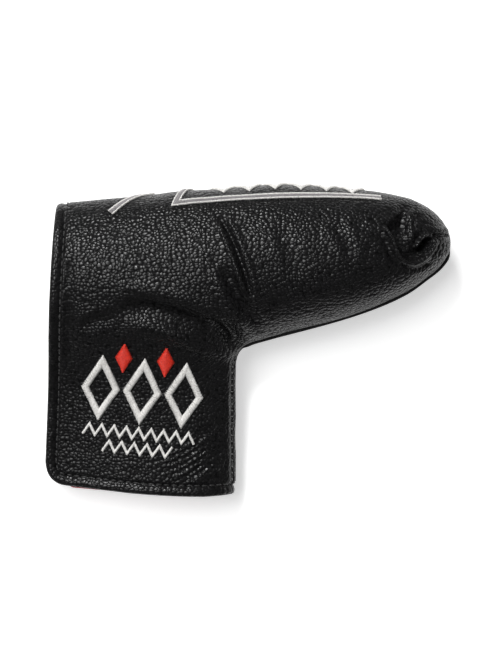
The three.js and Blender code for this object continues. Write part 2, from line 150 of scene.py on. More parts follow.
def pocket_field(p):
    x, y, z = p.T
    length = TOE_X - x
    depth = np.sqrt(np.maximum(length, 1e-3))
    knots = POCKET_KNOTS[:, 0]
    spine, lower, half = (through(knots, POCKET_KNOTS[:, k], depth) for k in (1, 2, 3))
    wide = (spine - lower) / 2 / depth
    thick = half / depth
    across = (np.abs(y - (spine + lower) / 2) / wide) ** SECTION_POWER
    up = (np.abs(z - seam_plane(y)) / thick) ** SECTION_POWER
    radius = (across + up) ** (1 / SECTION_POWER)
    size = np.minimum(wide, thick)
    return size * (radius**2 - length) / (radius + np.sqrt(np.maximum(length, 0)) + 0.8)


def neck_field(p):
    x, y, z = p.T
    half = through(NECK_KNOTS[:, 0], NECK_KNOTS[:, 1], x)
    rim = np.maximum(0, (x - (NECK_SIDE_X - NECK_RIM)) / NECK_RIM) ** SECTION_POWER
    up = (np.abs(z - seam_plane(y)) / half) ** SECTION_POWER
    sides = ((rim + up) ** (1 / SECTION_POWER) - 1) * half
    return sides + NECK_FADE * np.maximum(0, y - NECK_TOP_Y) ** 2


def bag_field(p):
    pocket, neck = pocket_field(p), neck_field(p)
    soft = BLEND_WIDE + (BLEND_TIGHT - BLEND_WIDE) * smooth((p[:, 0] + 28) / 22)
    share = np.clip(0.5 + 0.5 * (neck - pocket) / soft, 0, 1)
    return neck + (pocket - neck) * share - soft * share * (1 - share)


def gradient(p):
    step = 0.04
    parts = []
    for axis in range(3):
        move = np.zeros(3)
        move[axis] = step
        parts.append((bag_field(p + move) - bag_field(p - move)) / (2 * step))
    return np.stack(parts, 1)


# ---- The mouth's edge and the closing seam ----
def quadratic(a, b, c, count=20):
    t = np.linspace(0, 1, count, endpoint=False)[:, None]
    return (1 - t) ** 2 * np.array(a) + 2 * t * (1 - t) * np.array(b) + t**2 * np.array(c)


# Seen from above, from the spine round the heel and along the hem. At the spine it is further in than in
# the CAD model.
CORNER_TOP = (HEEL_X, HEM_Y + 3 + CORNER_RADIUS * 1.4)
CORNER_HEM = (HEEL_X + CORNER_RADIUS, HEM_Y + 4)
MOUTH = np.concatenate(
    [
        quadratic((HEEL_X + 5.7, 66), (HEEL_X + 2.8, 8), CORNER_TOP, 30),
        quadratic(CORNER_TOP, (HEEL_X - 0.4, HEM_Y + 4.6), CORNER_HEM, 14),
        quadratic(CORNER_HEM, (-40, HEM_Y), (-16, HEM_Y), 24),
        np.array([(-16, HEM_Y), (6, HEM_Y + 1.1)]),
    ]
)
MOUTH_ALONG = unit(np.diff(MOUTH, axis=0))
MOUTH_INWARD = np.stack([-MOUTH_ALONG[:, 1], MOUTH_ALONG[:, 0]], 1)


def mouth_distance(p):
    """How far each point is inside the mouth's edge, seen from above, and the way inwards there."""
    offsets = (MOUTH_INWARD * MOUTH[:-1]).sum(1)
    reach = p[:, :2] @ MOUTH_INWARD.T - offsets
    nearest = reach.argmin(1)
    return reach[np.arange(len(p)), nearest], MOUTH_INWARD[nearest]


def seam_height(y):
    """How high the closing seam runs: furthest above the middle plane on the neck, and on it at the tip."""
    return seam_plane(y) + SEAM_LIFT * (0.5 * smooth((36 - y) / 26) + 0.5 * smooth((-2 - y) / 10))


def settle(p, on_mouth=None, on_seam=None, inset=0.0, rounds=7):
    """Moves points onto the bag, and keeps those of the two edges on them."""
    p = p.copy()
    for _ in range(rounds):
        value, slope = bag_field(p), gradient(p)
        step = (value / np.maximum((slope**2).sum(1), 1e-6))[:, None] * slope
        p -= np.clip(step, -2, 2)
        if on_mouth is not None and on_mouth.any():
            reach, inward = mouth_distance(p[on_mouth])
            p[on_mouth, :2] -= (reach - inset)[:, None] * inward
        if on_seam is not None and on_seam.any():
            p[on_seam, 2] = seam_height(p[on_seam, 1])
    return p


# ---- Meshing the field ----
def surface_nets(field, low, high, step):
    """Quads round the zero level of a field, one vertex in each grid cell that it passes through."""
    axes = [np.arange(a, b + step, step) for a, b in zip(low, high)]
    grid = np.stack(np.meshgrid(*axes, indexing="ij"), -1)
    value = field(grid.reshape(-1, 3)).reshape(grid.shape[:3])
    cells = np.array(value.shape) - 1
    total, count = np.zeros((*cells, 3)), np.zeros(cells)

    def corner(array, offset):
        return array[tuple(slice(o, o + n) for o, n in zip(offset, cells))]

    corners = [(i, j, k) for i in (0, 1) for j in (0, 1) for k in (0, 1)]
    for a in corners:
        for axis in range(3):
            if a[axis]:
                continue
            b = tuple(v + (n == axis) for n, v in enumerate(a))
            va, vb = corner(value, a), corner(value, b)
            crossed = (va < 0) != (vb < 0)
            t = np.where(crossed, va / np.where(crossed, va - vb, 1), 0)[..., None]
            point = corner(grid, a) * (1 - t) + corner(grid, b) * t
            total += np.where(crossed[..., None], point, 0)
            count += crossed
    used = count > 0
    index = np.full(used.shape, -1)
    index[used] = np.arange(used.sum())
    points = total[used] / count[used][:, None]
    faces = []
    for axis in range(3):
        u, v = (axis + 1) % 3, (axis + 2) % 3
        near = [slice(None)] * 3
        far = [slice(None)] * 3
        near[axis], far[axis] = slice(0, -1), slice(1, None)
        crossed = (value[tuple(near)] < 0) != (value[tuple(far)] < 0)
        at = np.argwhere(crossed)
        inside = value[tuple(near)][crossed] < 0
        keep = (at[:, u] > 0) & (at[:, v] > 0) & (at[:, u] < cells[u]) & (at[:, v] < cells[v])
        at, inside = at[keep], inside[keep]
        ring = []
        for du, dv in ((1, 1), (0, 1), (0, 0), (1, 0)):
            cell = at.copy()
            cell[:, u] -= du
            cell[:, v] -= dv
            ring.append(index[tuple(cell.T)])
        quads = np.stack(ring, 1)
        quads[~inside] = quads[~inside][:, ::-1]
        faces.append(quads)
    return points, np.concatenate(faces)


def edges_of(faces):
    pairs = np.concatenate([faces[:, [0, 1]], faces[:, [1, 2]], faces[:, [2, 3]], faces[:, [3, 0]]])
    return np.unique(np.sort(pairs, 1), axis=0)


def relax(points, faces, rounds):
    """Evens out the spacing along the surface."""
    edges = edges_of(faces)
    degree = np.bincount(edges.ravel(), minlength=len(points))[:, None]
    for _ in range(rounds):
        total = np.zeros_like(points)
        np.add.at(total, edges[:, 0], points[edges[:, 1]])
        np.add.at(total, edges[:, 1], points[edges[:, 0]])
        points = settle(points + 0.5 * (total / degree - points), rounds=2)
    return points


def split(points, faces, value):
    """Moves the points nearest to the value's zero level onto it, and parts the faces there.
    Returns the moved points, which of them are on the level, and the faces on either side."""
    points, value = points.copy(), value.copy()
    edges = set()
    for face in faces:
        for a, b in zip(face, face[1:] + face[:1]):
            edges.add((min(a, b), max(a, b)))
    nearest = {}
    for a, b in sorted(edges):
        if value[a] * value[b] < 0:
            t = value[a] / (value[a] - value[b])
            spot = points[a] * (1 - t) + points[b] * t
            mover = a if t < 0.5 else b
            away = np.linalg.norm(spot - points[mover])
            if mover not in nearest or away < nearest[mover][0]:
                nearest[mover] = (away, spot)
    for mover, (_, spot) in nearest.items():
        points[mover] = spot
        value[mover] = 0
    sides = ([], [])
    for face in faces:
        signs = [np.sign(value[v]) for v in face]
        if min(signs) >= 0:
            sides[0].append(face)
        elif max(signs) <= 0:
            sides[1].append(face)
        else:
            start = signs.index(0)
            turned = face[start:] + face[:start]
            for half in (turned[:3], turned[2:] + turned[:1]):
                sides[0 if value[half[1]] > 0 else 1].append(half)
    return points, value == 0, sides


def packed(points, faces, *flags):
    """The points that the faces use, with the faces and flags to match."""
    used = sorted({v for face in faces for v in face})
    new = {old: i for i, old in enumerate(used)}
    return (points[used], [[new[v] for v in face] for face in faces], *[f[used] for f in flags])


def refined(points, faces, *flags):
    """Each face parted into one quad for each of its corners. A new point on an edge keeps a flag that
    both of the edge's ends have, if the edge is on the border."""
    edges, uses = {}, {}
    for face in faces:
        for a, b in zip(face, face[1:] + face[:1]):
            key = (min(a, b), max(a, b))
            edges.setdefault(key, len(edges))
            uses[key] = uses.get(key, 0) + 1
    ends = np.array(list(edges))
    border = np.array([uses[key] == 1 for key in edges])
    middles = np.array([points[face].mean(0) for face in faces])
    first_edge, first_face = len(points), len(points) + len(edges)
    quads = []
    for n, face in enumerate(faces):
        rim = [first_edge + edges[(min(a, b), max(a, b))] for a, b in zip(face, face[1:] + face[:1])]
        quads += [[v, rim[i], first_face + n, rim[i - 1]] for i, v in enumerate(face)]
    made = np.concatenate([points, points[ends].mean(1), middles])
    new_flags = [
        np.concatenate([f, f[ends].all(1) & border, np.zeros(len(faces), bool)]) for f in flags
    ]
    return (made, quads, *new_flags)


class Patch:
    """One panel of the bag's outer surface: points, faces, and which points are on its two edges."""

    def __init__(self, points, faces, on_mouth, on_seam, inset):
        self.points, self.faces, self.on_mouth, self.on_seam = packed(points, faces, on_mouth, on_seam)
        self.inset = inset
        self.points = settle(self.points, self.on_mouth, self.on_seam, inset)

    def finer(self, rounds):
        patch = self
        for _ in range(rounds):
            patch = Patch(
                *refined(patch.points, patch.faces, patch.on_mouth, patch.on_seam), patch.inset
            )
        return patch


def panels(inset, cell):
    """The front and back panels, cut this far inside the mouth's edge."""
    low, high = (-93, -71, -8), (84, 67, 47)
    points, faces = surface_nets(bag_field, low, high, cell)
    points = relax(settle(points), faces, 6)
    faces = faces.tolist()
    points, on_mouth, sides = split(points, faces, mouth_distance(points)[0] - inset)
    points, faces, on_mouth = packed(points, sides[0], on_mouth)
    value = points[:, 2] - seam_height(points[:, 1])
    points, on_seam, sides = split(points, faces, value)
    return [Patch(points, side, on_mouth, on_seam, inset) for side in sides]


# ---- Relief: folds, soft lumps and sewn edges, as heights over the plain surface ----
def curve_through(points, count=40):
    points = np.array(points, float)
    at = np.arange(len(points))
    t = np.linspace(0, len(points) - 1, count)
    return np.stack([through(at, points[:, 0], t), through(at, points[:, 1], t)], 1)


def near_line(xy, line):
    """Each point's distance to a line seen from above, positive on its left, and how far along it is."""
    a, b = line[:-1], line[1:]
    along = b - a
    length = np.linalg.norm(along, axis=1)
    t = ((xy[:, None] - a) * along).sum(2) / length**2
    t = np.clip(t, 0, 1)
    gap = xy[:, None] - (a + t[..., None] * along)
    away = np.linalg.norm(gap, axis=2)
    k = away.argmin(1)
    rows = np.arange(len(xy))
    cross = along[k, 0] * gap[rows, k, 1] - along[k, 1] * gap[rows, k, 0]
    return np.sign(cross) * away[rows, k], (k + t[rows, k]) / len(a)


FOLD_FADE = 0.25  # of a fold's length, in which it rises at each end
# Each fold: its line, depth, width, the height of the rise on its left and on its right, and how far
# from the line the rises are.
VALLEY_LINE = [(-55, 12.0), (-44, 12.8), (-34.5, 11.6), (-24, 8.4), (-13.4, 4.4), (-4, 0.8), (1, -1.5)]
FOLDS = [
    ([(-12, 50), (-7, 42), (-2.5, 31), (0.5, 21), (2, 14)], 1.5, 0.9, 0.5, 0.9, 2.6),
    ([(-10, 30), (-5.5, 21), (-1, 13), (5, 4.5)], 1.5, 2.3, 0.5, 0.7, 4.2),
    (VALLEY_LINE, 2.2, 3.6, 0.7, 1.3, 7.2),
    ([(-30, 7), (-21, 1.5), (-12, -3.5)], 0.7, 1.8, 0.0, 0.5, 3.2),
    ([(-15, 10), (-9, 2), (-5, -3)], 0.7, 1.2, 0.3, 0.3, 2.2),
    ([(-70.5, 38), (-70.5, 24), (-70, 8), (-69, -10)], 1.2, 3.0, 0.0, 0.5, 6.5),
    ([(12, 46), (17, 34), (19, 22)], 0.35, 3.0, 0.0, 0.25, 5.0),
    ([(33, 47), (38, 38), (41, 30)], 0.45, 2.4, 0.25, 0.3, 4.2),
    ([(-66, 3), (-58, 8), (-50, 9)], 0.5, 2.6, 0.2, 0.2, 4.2),
    ([(-24, -52), (-15, -46), (-7, -41)], 0.35, 1.6, 0.2, 0.2, 2.8),
    ([(-28, -57), (-18, -51), (-8, -45.5)], 0.3, 1.3, 0.2, 0.2, 2.4),
    ([(-22, -39), (-14, -34), (-7, -29)], 0.3, 1.5, 0.15, 0.15, 2.6),
    ([(-9, -9), (-12, -18), (-12.5, -28)], 0.35, 2.6, 0.2, 0.0, 4.0),
]
# The toe's pucker: a lip bent like a U round a hollow
PUCKER_LIP = [
    (52.6, 45.2),
    (54.4, 42.9),
    (56.5, 39.2),
    (58.2, 34.9),
    (60.3, 32),
    (63.3, 30.7),
    (66.3, 31.4),
    (69.3, 33.6),
    (71.6, 36.4),
    (73.6, 39.9),
]
LIP_DROP, LIP_STEEPNESS, HOLLOW_REACH = 3.6, 1.3, 9.5
LIP_RISE, LIP_RISE_WIDTH = 1.5, 1.0
LIP_FOOT, LIP_FOOT_WIDTH = 0.7, 1.8  # the dip outside the lip's left arm
# Lines in and round the hollow: points, height and width
PUCKER_LINES = [
    ([(63.2, 52), (63.8, 45), (64.6, 36)], 1.3, 2.0),
    ([(60.8, 54), (60.4, 47), (60.8, 40)], -1.1, 2.0),
    ([(65.4, 35.2), (67.4, 38.4), (70.2, 41.8)], 2.3, 1.05),
    ([(66.2, 41.5), (65.8, 46), (66.4, 50)], -0.8, 1.4),
    ([(67.6, 34.2), (69.6, 36.8), (71.8, 40.4)], -1.9, 1.2),
    ([(70.8, 41.3), (74, 41.1), (77, 41.5), (82, 41.2)], -1.7, 0.65),
    ([(71, 43.2), (75, 43), (80, 43)], 0.7, 1.5),
    ([(58.4, 30.6), (61, 28.4), (64.6, 27.6), (69, 29), (72, 31.6)], -0.75, 0.8),
    ([(75.2, 39), (73.8, 35.5), (71.6, 32)], -0.4, 0.6),
    ([(76.6, 38.8), (75.8, 36), (74, 32.6)], -0.4, 0.6),
    ([(78, 39), (77.8, 36.4), (76.6, 34)], -0.3, 0.5),
    ([(54, 35.5), (56, 32), (57.2, 28.5)], -0.45, 0.9),
    ([(52.5, 39.5), (54, 37.5), (54.8, 35)], -0.3, 0.8),
]


def fold_height(xy):
    height = np.zeros(len(xy))
    for line, depth, width, left, right, offset in FOLDS:
        near, along = near_line(xy, curve_through(line))
        ends = fading(along, FOLD_FADE, FOLD_FADE)
        height -= depth * ends * np.exp(-((near / width) ** 2))
        rise = offset * 0.45
        height += left * ends * np.exp(-(((near - offset) / rise) ** 2))
        height += right * ends * np.exp(-(((near + offset) / rise) ** 2))
    return height


# Fine wrinkles low on the neck: where they are, how far round, the way across them, spacing and height
WRINKLE_MIDDLE, WRINKLE_REACH = np.array([-22.0, -46.0]), (17.0, 13.0)
WRINKLE_ACROSS, WRINKLE_SPACING, WRINKLE_HEIGHT = np.array([-0.5, 0.86]), 2.5, 0.14


def wrinkle_height(xy):
    gap = (xy - WRINKLE_MIDDLE) / WRINKLE_REACH
    share = smooth(1.6 - 1.4 * np.linalg.norm(gap, axis=1))
    sway = 1.2 * np.sin(xy[:, 0] / 5.3) + 0.8 * np.sin(xy[:, 1] / 3.7)
    wave = np.sin(2 * math.pi * (xy @ WRINKLE_ACROSS + sway) / WRINKLE_SPACING)
    return WRINKLE_HEIGHT * share * wave


def pucker_height(xy):
    near, along = near_line(xy, curve_through(PUCKER_LIP, 60))
    ends = fading(along, 0.14, 0.1)
    hollow = smooth((near + 0.1) / LIP_STEEPNESS) * np.exp(-((np.maximum(near, 0) / HOLLOW_REACH) ** 2))
    height = LIP_RISE * ends * np.exp(-(((near + 0.6) / LIP_RISE_WIDTH) ** 2)) - LIP_DROP * ends * hollow
    foot = smooth((0.6 - along) / 0.2) * np.exp(-(((near + 3.4) / LIP_FOOT_WIDTH) ** 2))
    height -= LIP_FOOT * ends * foot
    for line, rise, width in PUCKER_LINES:
        near, along = near_line(xy, curve_through(line))
        ends = fading(along, FOLD_FADE, FOLD_FADE)
        height += rise * ends * np.exp(-((near / width) ** 2))
    return height


def lump_height(p):
    """Soft unevenness of padding and leather."""
    height = np.zeros(len(p))
    for size, amount, lift in ((26, 0.5, 7.3), (11, 0.22, 3.1), (5.2, 0.08, 1.7)):
        height += amount * noise_at(p / size + lift)
    return height


def seam_share(p, reach=1.5):
    """1 at the closing seam, falling off along the surface on either side of it."""
    away = np.abs(p[:, 2] - seam_height(p[:, 1]))
    slope = unit(gradient(p))
    tilt = np.sqrt(np.clip(1 - slope[:, 2] ** 2, 0.05, 1))
    return np.exp(-((away / tilt / reach) ** 2)) * smooth((39 - p[:, 1]) / 5)


SEAM_PINCH, SEAM_SWELL, SPINE_SWELL = 0.95, 0.8, 0.7
MOUTH_DIVE = 1.25  # how far the leather dips beside the mouth's turned edge


def swell(p):
    """How far the padding pushes the leather out at the spine and on both sides of the closing seam."""
    at_tip = smooth((p[:, 0] - TOE_X + 8) / 7)
    beside_seam = SEAM_SWELL * (1 - 0.6 * at_tip) * seam_share(p, 5.5)
    return beside_seam + SPINE_SWELL * smooth((p[:, 1] - 44) / 9)


def relief(p, sewn=True):
    """The height of the cover's real surface over the plain one at these points of the plain one."""
    front_side = smooth((p[:, 2] - seam_height(p[:, 1]) - 1.0) / 4)
    reach, _ = mouth_distance(p)
    calm = smooth((reach - 4) / 5)
    height = lump_height(p) * calm
    folds = fold_height(p[:, :2]) + pucker_height(p[:, :2]) + wrinkle_height(p[:, :2])
    height += front_side * calm * folds + swell(p)
    if sewn:
        height -= SEAM_PINCH * seam_share(p)
        height -= MOUTH_DIVE * (1 - 0.6 * smooth((p[:, 1] - 42) / 8)) * smooth((5.7 - reach) / 2.4)
    return height


def set_inputs(node, **values):
    """Sets inputs by their names, with _ for each space."""
    for name, value in values.items():
        node.inputs[name.replace("_", " ")].default_value = value


# ---- Grain: rounded pebbles with narrow valleys, the same in the mesh and in the material ----
PEBBLE = 1.32  # millimetres from one pebble to the next
PEBBLE_REACH = 0.8  # of that, from a pebble's middle to where its dome would end
PEBBLE_STRETCH = (0.82, 1.0, 1.0)
VALLEY = 0.14
DRIFT_SIZE, DRIFT = 7.0, 2.2


def grain_nodes(tree, place):
    """Nodes for the grain at a place in metres: the domes' height and the valleys, each from 0 to 1."""
    new, link = tree.nodes.new, tree.links.new
    drift = new("ShaderNodeTexNoise")
    set_inputs(drift, Scale=1 / (DRIFT_SIZE * MM), Detail=1)
    shift = new("ShaderNodeVectorMath")
    shift.operation = "MULTIPLY_ADD"
    shift.inputs[1].default_value = (DRIFT * MM,) * 3
    link(place, drift.inputs["Vector"])
    link(drift.outputs["Color"], shift.inputs[0])
    link(place, shift.inputs[2])
    stretch = new("ShaderNodeVectorMath")
    stretch.operation = "MULTIPLY"
    stretch.inputs[1].default_value = PEBBLE_STRETCH
    link(shift.outputs[0], stretch.inputs[0])
    cells = {}
    for feature in ("F1", "DISTANCE_TO_EDGE"):
        cell = new("ShaderNodeTexVoronoi")
        cell.feature = feature
        set_inputs(cell, Scale=1 / (PEBBLE * MM), Randomness=0.8)
        link(stretch.outputs[0], cell.inputs["Vector"])
        cells[feature] = cell.outputs["Distance"]
    square = new("ShaderNodeMath")
    square.operation = "POWER"
    square.inputs[1].default_value = 2
    dome = new("ShaderNodeMapRange")
    set_inputs(dome, From_Max=PEBBLE_REACH**2, To_Min=1, To_Max=0)
    valley = new("ShaderNodeMapRange")
    valley.interpolation_type = "SMOOTHSTEP"
    set_inputs(valley, From_Max=VALLEY)
    link(cells["F1"], square.inputs[0])
    link(square.outputs[0], dome.inputs["Value"])
    link(cells["DISTANCE_TO_EDGE"], valley.inputs["Value"])
    return dome.outputs["Result"], valley.outputs["Result"]


def grain_at(points):
    """The grain's height at points in millimetres, from the same nodes as the material's."""
    tree = bpy.data.node_groups.new("grain", "GeometryNodeTree")
    tree.interface.new_socket("Geometry", in_out="INPUT", socket_type="NodeSocketGeometry")
    tree.interface.new_socket("Geometry", in_out="OUTPUT", socket_type="NodeSocketGeometry")
    start, end = tree.nodes.new("NodeGroupInput"), tree.nodes.new("NodeGroupOutput")
    store = tree.nodes.new("GeometryNodeStoreNamedAttribute")
    store.inputs["Name"].default_value = "grain"
    place = tree.nodes.new("GeometryNodeInputPosition").outputs[0]
    tree.links.new(start.outputs[0], store.inputs["Geometry"])
    tree.links.new(grain_nodes(tree, place)[0], store.inputs["Value"])
    tree.links.new(store.outputs[0], end.inputs[0])
    mesh = bpy.data.meshes.new("grain_points")
    mesh.from_pydata((points * MM).tolist(), [], [])
    holder = bpy.data.objects.new("grain_points", mesh)
    bpy.context.scene.collection.objects.link(holder)
    holder.modifiers.new("grain", "NODES").node_group = tree
    made = holder.evaluated_get(bpy.context.evaluated_depsgraph_get()).to_mesh()
    height = np.zeros(len(points), np.float32)
    made.attributes["grain"].data.foreach_get("value", height)
    bpy.data.objects.remove(holder)
    bpy.data.meshes.remove(mesh)
    bpy.data.node_groups.remove(tree)
    return height


# ---- Materials ----
def new_material(name):
    material = bpy.data.materials.new(name)
    material.use_nodes = True
    tree = material.node_tree
    return material, tree, tree.nodes["Principled BSDF"]


def rest_place(tree):
    """Where a point is on the closed cover, so that patterns stay on a piece that bends."""
    node = tree.nodes.new("ShaderNodeAttribute")
    node.attribute_name = "rest"
    return node.outputs["Vector"]


def mix(tree, share, low, high):
    node = tree.nodes.new("ShaderNodeMix")
    node.data_type = "RGBA"
    tree.links.new(share, node.inputs["Factor"])
    node.inputs[6].default_value = (*low, 1)
    node.inputs[7].default_value = (*high, 1)
    return node.outputs[2]


def remap(tree, value, low, high, to_low=0.0, to_high=1.0):
    node = tree.nodes.new("ShaderNodeMapRange")
    tree.links.new(value, node.inputs["Value"])
    for key, number in (("From Min", low), ("From Max", high), ("To Min", to_low), ("To Max", to_high)):
        node.inputs[key].default_value = number
    return node.outputs["Result"]


def noise_value(tree, place, size, detail=2.0):
    node = tree.nodes.new("ShaderNodeTexNoise")
    set_inputs(node, Scale=1 / (size * MM), Detail=detail)
    tree.links.new(place, node.inputs["Vector"])
    return node.outputs["Fac"]


def bump(tree, height, distance, strength=1.0, normal=None):
    node = tree.nodes.new("ShaderNodeBump")
    set_inputs(node, Distance=distance * MM, Strength=strength)
    tree.links.new(height, node.inputs["Height"])
    if normal is not None:
        tree.links.new(normal, node.inputs["Normal"])
    return node.outputs["Normal"]


def colour_between(tree, shader, share, low, high):
    tree.links.new(mix(tree, share, low, high), shader.inputs["Base Color"])


GRAIN_IN_MESH = 0.04  # millimetres of the grain's height in the mesh, and in the material's bump
GRAIN_IN_BUMP = 0.215
VALLEY_IN_BUMP = 0.035


def leather_material(name, grain):
    material, tree, shader = new_material(name)
    place = rest_place(tree)
    domes, valleys = grain_nodes(tree, place)
    pores = noise_value(tree, place, 0.32, 3)
    wear = noise_value(tree, place, 16, 3)
    # The valleys between the pebbles get a darker base colour. This is painted shade, standing in for the
    # shadow that the pebbles would cast on each other.
    colour_between(tree, shader, valleys, (0.0012, 0.0012, 0.0013), (0.0085, 0.0083, 0.0087))
    rough = tree.nodes.new("ShaderNodeMath")
    rough.operation = "ADD"
    tree.links.new(remap(tree, valleys, 0, 1, 0.3, 0.0), rough.inputs[0])
    tree.links.new(remap(tree, wear, 0.3, 0.7, 0.2, 0.27), rough.inputs[1])
    tree.links.new(rough.outputs[0], shader.inputs["Roughness"])
    tree.links.new(remap(tree, valleys, 0, 1, 0.08, 0.25), shader.inputs["Specular IOR Level"])
    normal = bump(tree, domes, GRAIN_IN_BUMP * grain)
    normal = bump(tree, valleys, VALLEY_IN_BUMP * grain, 1.0, normal)
    normal = bump(tree, pores, 0.012, 1.0, normal)
    tree.links.new(normal, shader.inputs["Normal"])
    return material


def thread_material(name, colour, dark, rough=0.5, sheen=0.35):
    material, tree, shader = new_material(name)
    place = rest_place(tree)
    tone = noise_value(tree, place, 0.6, 3)
    fibre = noise_value(tree, place, 0.12, 2)
    colour_between(tree, shader, remap(tree, tone, 0.3, 0.7), dark, colour)
    set_inputs(shader, Roughness=rough, Sheen_Weight=sheen)
    tree.links.new(bump(tree, fibre, 0.03), shader.inputs["Normal"])
    return material


PLUSH_DARK, PLUSH_PALE, PLUSH_SHEEN = (0.16, 0.004, 0.010), (0.55, 0.018, 0.035), (1.0, 0.35, 0.38, 1)


def plush_material(name):
    material, tree, shader = new_material(name)
    place = rest_place(tree)
    pile = noise_value(tree, place, 0.55, 4)
    nap = noise_value(tree, place, 9, 2)
    colour_between(tree, shader, remap(tree, pile, 0.35, 0.65), PLUSH_DARK, PLUSH_PALE)
    set_inputs(shader, Roughness=0.9, Specular_IOR_Level=0.2, Sheen_Weight=0.8, Sheen_Tint=PLUSH_SHEEN)
    normal = bump(tree, pile, 0.35)
    tree.links.new(bump(tree, nap, 0.5, 1.0, normal), shader.inputs["Normal"])
    return material


FOAM_CELL = 0.6


def foam_material(name):
    material, tree, shader = new_material(name)
    place = rest_place(tree)
    node = tree.nodes.new("ShaderNodeTexVoronoi")
    set_inputs(node, Scale=1 / (FOAM_CELL * MM))
    tree.links.new(place, node.inputs["Vector"])
    colour_between(tree, shader, node.outputs["Distance"], (0.03, 0.03, 0.03), (0.14, 0.14, 0.145))
    set_inputs(shader, Roughness=0.95)
    tree.links.new(bump(tree, node.outputs["Distance"], 0.2), shader.inputs["Normal"])
    return material


def metal_material(name):
    material, tree, shader = new_material(name)
    place = tree.nodes.new("ShaderNodeTexCoord").outputs["Object"]
    tone = noise_value(tree, place, 1.5, 3)
    colour_between(tree, shader, tone, (0.42, 0.42, 0.43), (0.62, 0.62, 0.63))
    set_inputs(shader, Metallic=1.0)
    scuffs = noise_value(tree, place, 0.3, 3)
    tree.links.new(remap(tree, scuffs, 0, 1, 0.22, 0.42), shader.inputs["Roughness"])
    return material


# The look of each material slot, and of the one piece that differs from its slot
LOOKS = {
    "leather": leather_material("pebbled_leather", 1.0),
    "binding": leather_material("turned_leather_edge", 0.8),
    "white_thread": thread_material("white_thread", (0.86, 0.845, 0.82), (0.56, 0.55, 0.525)),
    "red_thread": thread_material("red_thread", (0.80, 0.030, 0.008), (0.58, 0.018, 0.006), 0.5, 0.05),
    "silver_thread": thread_material("silver_thread", (0.27, 0.255, 0.26), (0.16, 0.15, 0.155), 0.45, 0.2),
    "black_thread": thread_material("black_thread", (0.012,) * 3, (0.004,) * 3, 0.45),
    "plush_lining": plush_material("red_plush"),
    "foam": foam_material("foam"),
    "magnet": metal_material("nickel_plate"),
}
# The closing seam's welt is near black and matte. This is partly the leather edge's own black and partly
# painted shade of the seam's underside.
WELT_EDGE_AND_SHADE = thread_material("welt_edge_and_painted_shade", (0.006,) * 3, (0.002,) * 3, 0.6, 0.0)


# ---- Pieces ----
class Shape:
    """Points and faces gathered for one piece."""

    def __init__(self):
        self.points, self.faces, self.count = [], [], 0

    def add(self, points, faces):
        self.points.append(np.asarray(points, float))
        self.faces += [[v + self.count for v in face] for face in faces]
        self.count += len(points)


def add_piece(name, shape, slot, nodes, bends=False, look=None):
    """Makes a piece that stands for these CAD nodes. One that bends crosses the fold."""
    points = np.concatenate(shape.points) * MM
    mesh = bpy.data.meshes.new(name)
    mesh.from_pydata(points.tolist(), [], shape.faces)
    mesh.shade_smooth()
    rest = mesh.attributes.new("rest", "FLOAT_VECTOR", "POINT")
    rest.data.foreach_set("vector", points.astype(np.float32).ravel())
    mesh.materials.append(look or LOOKS[slot])
    piece = bpy.data.objects.new(name, mesh)
    bpy.context.scene.collection.objects.link(piece)
    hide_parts(*nodes)
    if bends:
        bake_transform(piece)
    else:
        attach(piece, "cover")
    return piece


def border_loops(faces):
    """Directed border edges as (from, to)."""
    seen = {}
    for face in faces:
        for a, b in zip(face, face[1:] + face[:1]):
            seen[(a, b)] = True
    return [(a, b) for a, b in seen if (b, a) not in seen]


FLOOR_GAP, STITCH_ROOM = 0.02, 0.48


def lowest(points):
    """The lowest that the cover may hang at these points, which is higher under the topstitching."""
    reach, _ = mouth_distance(points)
    return FLOOR_GAP + STITCH_ROOM * smooth((6.4 - reach) / 1.6)


def shell(patch, outer, inner):
    """A closed shell between two heights over a patch, each a number or one number for each point."""
    floor = lowest(patch.points)
    normal = unit(gradient(patch.points))
    top = patch.points + normal * np.broadcast_to(outer, len(patch.points))[:, None]
    low = patch.points + normal * np.broadcast_to(inner, len(patch.points))[:, None]
    for layer in (top, low):
        layer[:, 2] = np.maximum(layer[:, 2], floor)
    count = len(top)
    faces = [list(face) for face in patch.faces]
    faces += [[v + count for v in reversed(face)] for face in patch.faces]
    faces += [[b, a, a + count, b + count] for a, b in border_loops(patch.faces)]
    shape = Shape()
    shape.add(np.concatenate([top, low]), faces)
    return shape


front, back = panels(BINDING_WIDTH - 0.6, LEATHER_CELL)
front_leather, back_leather = front.finer(LEATHER_ROUNDS), back.finer(LEATHER_ROUNDS)
inner_front, inner_back = (patch.finer(INNER_ROUNDS) for patch in panels(BINDING_WIDTH + 0.4, INNER_CELL))


MAGNET_HOLE, MAGNET_RISE = 6.6, 0.45
INNER_SHARE = 0.75  # how much of the leather's relief comes through to the inside
PILE_HEIGHT, PILE_SIZE = 0.16, 0.9


class Holed:
    """A patch with round holes through it, seen from above."""

    def __init__(self, patch, centres, radius):
        self.points, self.faces = patch.points, patch.faces
        for centre in centres:
            value = np.linalg.norm(self.points[:, :2] - centre, axis=1) - radius
            self.points, _, sides = split(self.points, self.faces, value)
            self.points, self.faces = packed(self.points, sides[0])


def magnet_centres(*nodes):
    """The magnets' middles, seen from above, in millimetres."""
    return [np.array([(low + high) / 2 / MM for low, high in zip(*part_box(node))][:2]) for node in nodes]


FRONT_MAGNETS = magnet_centres("front_flap_magnet_upper", "front_flap_magnet_lower")
BACK_MAGNETS = magnet_centres("back_flap_magnet_upper", "back_flap_magnet_lower")


def leather_shell(patch):
    height = relief(patch.points)
    reach, _ = mouth_distance(patch.points)
    calm = smooth((reach - 4.2) / 1.5) * (1 - 0.8 * seam_share(patch.points))
    normal = unit(gradient(patch.points))
    grain = grain_at(patch.points + normal * height[:, None])
    return shell(patch, height + GRAIN_IN_MESH * calm * (grain - 0.5), height - LEATHER[1])


